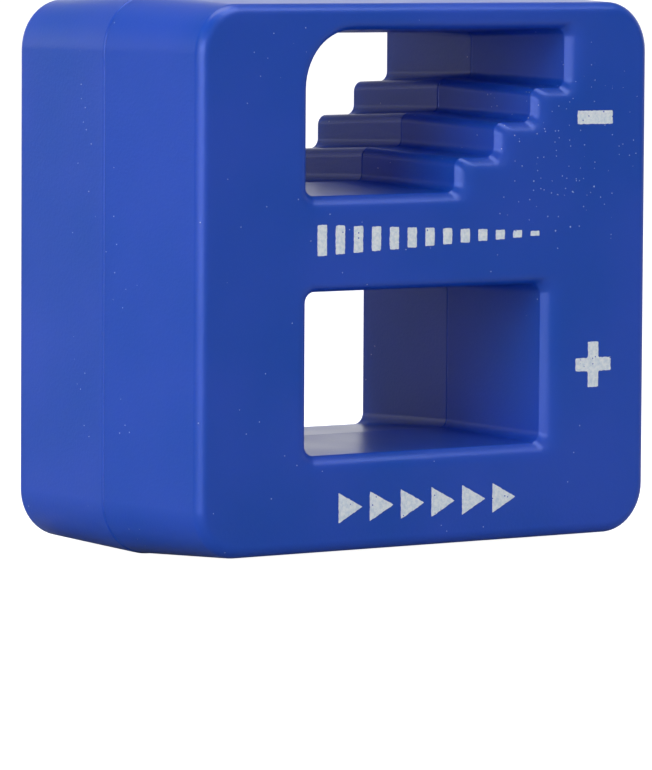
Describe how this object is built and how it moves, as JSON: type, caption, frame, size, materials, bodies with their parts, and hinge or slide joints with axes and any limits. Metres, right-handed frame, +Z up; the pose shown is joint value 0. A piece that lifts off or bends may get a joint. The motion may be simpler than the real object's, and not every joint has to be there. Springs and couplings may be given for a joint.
{
  "type": "screwdriver magnetizer and demagnetizer",
  "caption": "Two-shell block with a rectangular and a stepped through opening, for magnetizing and demagnetizing screwdrivers and other small steel tools.",
  "frame": {"origin": "middle of the base, on the surface that the block stands on", "axes": "+Z up, the front face towards -Y, +X to the right seen from the front, with the stepped opening above and the treads at its right"},
  "size_m": [0.052, 0.0274, 0.0494],
  "materials": {
    "shell_plastic": "satin moulded ABS, royal blue",
    "ferrite": "sintered hard ferrite, dull dark grey",
    "adhesive": "cured epoxy, amber",
    "ink": "pad-printed white ink, mottled"
  },
  "bodies": {
    "root": {"front_shell": "shell_plastic", "rear_shell": "shell_plastic", "left_magnet": "ferrite", "right_magnet": "ferrite", "left_magnet_adhesive": "adhesive", "right_magnet_adhesive": "adhesive", "front_minus_mark": "ink", "front_plus_mark": "ink", "front_upper_caption": "ink", "front_lower_caption": "ink", "rear_minus_mark": "ink", "rear_plus_mark": "ink", "rear_upper_caption": "ink", "rear_lower_caption": "ink"}
  },
  "joints": []
}
